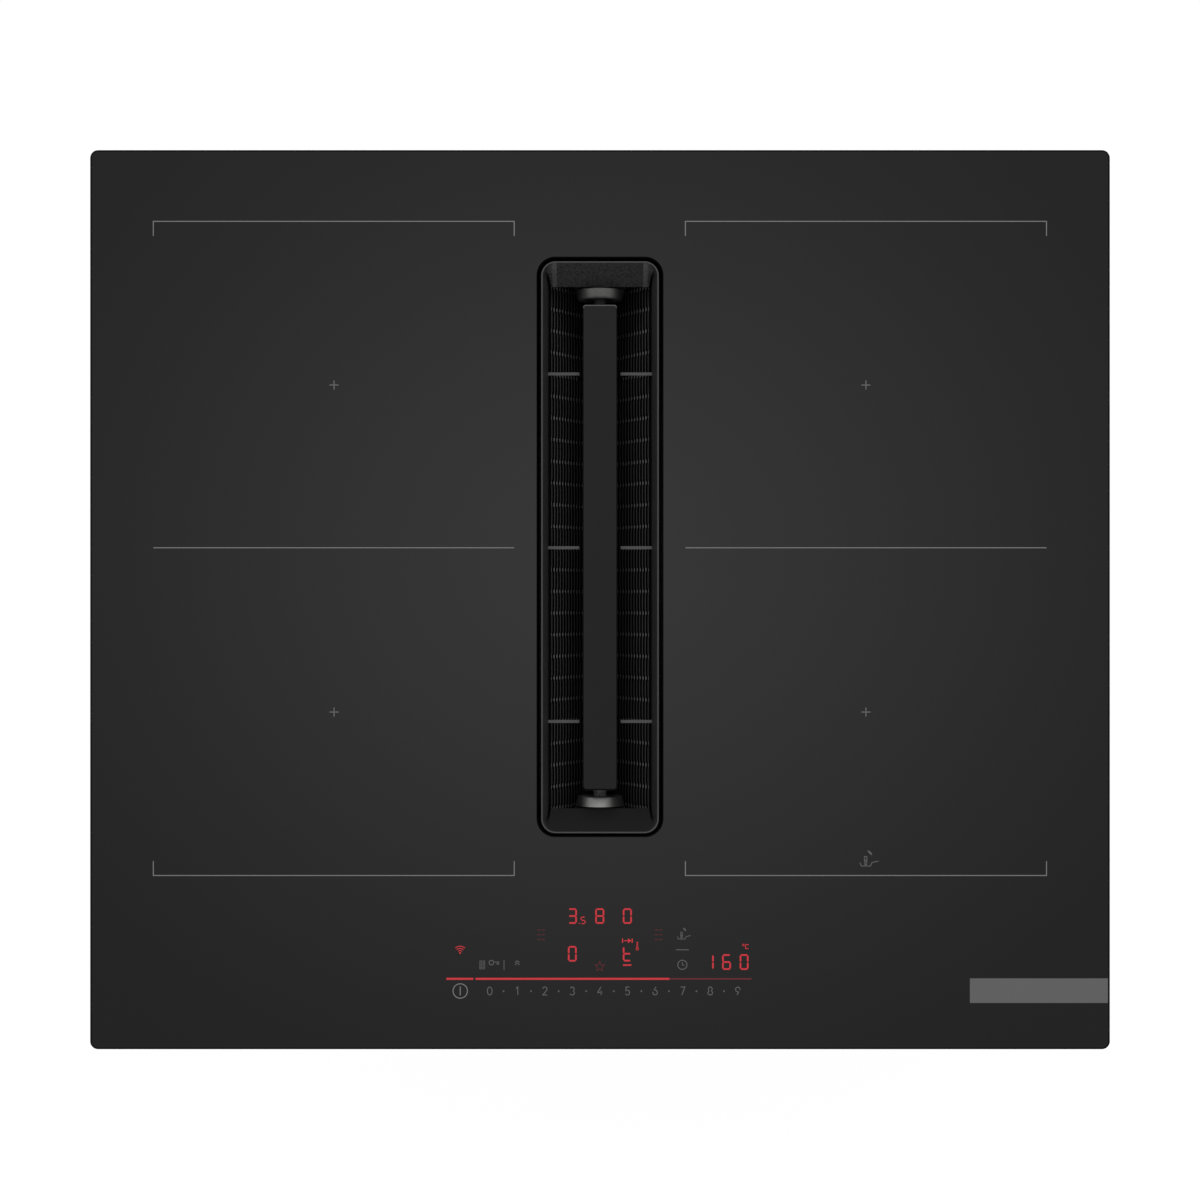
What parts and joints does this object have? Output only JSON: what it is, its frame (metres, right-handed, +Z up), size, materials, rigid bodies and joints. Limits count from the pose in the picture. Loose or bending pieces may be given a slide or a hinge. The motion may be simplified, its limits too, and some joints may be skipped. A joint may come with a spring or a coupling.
{
  "type": "downdraft induction cooktop",
  "caption": "Black glass induction cooktop with a lift-out filter unit in a central vent, coils and touch controls, and a radial extractor fan that blows out at the back.",
  "frame": {"origin": "middle of the footprint, on the surface that the cooktop stands on before it is fitted", "axes": "+X to the cook's right, +Y to the back, +Z up"},
  "size_m": [0.592, 0.522, 0.223],
  "materials": {
    "black_glass": "black ceramic glass with a soft sheen and a dark ground edge",
    "filter_metal": "satin anthracite coating on cast metal",
    "mesh_metal": "dark coated steel, stamped in fine louvres",
    "bar_black": "matte black",
    "pin_metal": "blackened turned steel",
    "print_grey": "thin grey print on the glass",
    "display_red": "red light seen through the glass",
    "foam_seal": "closed-cell foam tape",
    "black_rubber": "soft silicone seal",
    "steel_sheet": "galvanised sheet with a faint spangle",
    "black_plastic": "moulded, fine grain",
    "grey_plastic": "moulded, smooth grey",
    "motor_steel": "zinc-plated, turned",
    "clamp_zinc": "bright zinc plate",
    "aluminium_sheet": "mill finish",
    "copper_wire": "varnished copper litz wire",
    "ceramic_white": "unglazed ceramic",
    "circuit_board": "green solder mask",
    "cable_grey": "smooth cable jacket"
  },
  "bodies": {
    "casing": {"glass_top": "black_glass", "worktop_seal": "foam_seal", "carrier_frame": "steel_sheet", "base_tray": "steel_sheet", "air_well": "black_plastic", "well_seal": "black_rubber", "drain_spout": "black_plastic", "coil_carrier_rear_right": "aluminium_sheet", "coil_winding_rear_right": "copper_wire", "coil_sensor_rear_right": "ceramic_white", "coil_carrier_front_right": "aluminium_sheet", "coil_winding_front_right": "copper_wire", "coil_sensor_front_right": "ceramic_white", "power_board_right": "circuit_board", "heatsink_right": "aluminium_sheet", "cooling_fan_frame_right": "black_plastic", "coil_carrier_rear_left": "aluminium_sheet", "coil_winding_rear_left": "copper_wire", "coil_sensor_rear_left": "ceramic_white", "coil_carrier_front_left": "aluminium_sheet", "coil_winding_front_left": "copper_wire", "coil_sensor_front_left": "ceramic_white", "power_board_left": "circuit_board", "heatsink_left": "aluminium_sheet", "cooling_fan_frame_left": "black_plastic", "control_housing": "black_plastic", "display_board": "circuit_board", "display_cable": "cable_grey", "fan_housing_lower": "black_plastic", "fan_housing_upper": "black_plastic", "fan_inlet_ring": "grey_plastic", "fan_motor": "motor_steel", "plenum_base": "black_plastic", "plenum_cover": "black_plastic", "outlet_collar": "black_plastic", "container_bay": "steel_sheet", "terminal_box": "black_plastic", "terminal_cover": "black_plastic", "terminal_block": "ceramic_white", "cable_gland": "black_plastic", "clamp_screw_front_right": "clamp_zinc", "clamp_screw_front_left": "clamp_zinc", "clamp_screw_rear_right": "clamp_zinc", "clamp_screw_rear_left": "clamp_zinc"},
    "filter_unit": {"filter_frame": "filter_metal", "filter_mesh_right": "mesh_metal", "filter_mesh_left": "mesh_metal", "grip_bar": "bar_black", "bar_pin_rear": "pin_metal", "bar_pin_front": "pin_metal", "collector_tray": "black_plastic"},
    "impeller": {"impeller": "grey_plastic", "motor_shaft": "motor_steel"},
    "cooling_rotor_right": {"cooling_fan_rotor_right": "black_plastic"},
    "cooling_rotor_left": {"cooling_fan_rotor_left": "black_plastic"},
    "container": {"overflow_container": "grey_plastic"},
    "clamp_front_right": {"worktop_clamp_front_right": "clamp_zinc"},
    "clamp_front_left": {"worktop_clamp_front_left": "clamp_zinc"},
    "clamp_rear_right": {"worktop_clamp_rear_right": "clamp_zinc"},
    "clamp_rear_left": {"worktop_clamp_rear_left": "clamp_zinc"}
  },
  "joints": [
    {"name": "filter_lift", "type": "slide", "parent": "casing", "child": "filter_unit", "axis": [0, 0, 1], "range_m": [0, 0.18]},
    {"name": "impeller_spin", "type": "hinge", "parent": "casing", "child": "impeller", "pos_m": [0.152, -0.008, 0.05], "axis": [0, 0, 1], "continuous": true},
    {"name": "cooling_spin_right", "type": "hinge", "parent": "casing", "child": "cooling_rotor_right", "pos_m": [0.16, -0.186, 0.175], "axis": [0, 0, 1], "continuous": true},
    {"name": "cooling_spin_left", "type": "hinge", "parent": "casing", "child": "cooling_rotor_left", "pos_m": [-0.16, -0.186, 0.175], "axis": [0, 0, 1], "continuous": true},
    {"name": "container_slide", "type": "slide", "parent": "casing", "child": "container", "axis": [0, -1, 0], "range_m": [0, 0.16]},
    {"name": "clamp_turn_front_right", "type": "hinge", "parent": "casing", "child": "clamp_front_right", "pos_m": [0.2715, -0.15, 0.185], "axis": [0, 0, -1], "range_deg": [0, 90]},
    {"name": "clamp_turn_front_left", "type": "hinge", "parent": "casing", "child": "clamp_front_left", "pos_m": [-0.2715, -0.15, 0.185], "axis": [0, 0, 1], "range_deg": [0, 90]},
    {"name": "clamp_turn_rear_right", "type": "hinge", "parent": "casing", "child": "clamp_rear_right", "pos_m": [0.2715, 0.15, 0.185], "axis": [0, 0, 1], "range_deg": [0, 90]},
    {"name": "clamp_turn_rear_left", "type": "hinge", "parent": "casing", "child": "clamp_rear_left", "pos_m": [-0.2715, 0.15, 0.185], "axis": [0, 0, -1], "range_deg": [0, 90]}
  ]
}
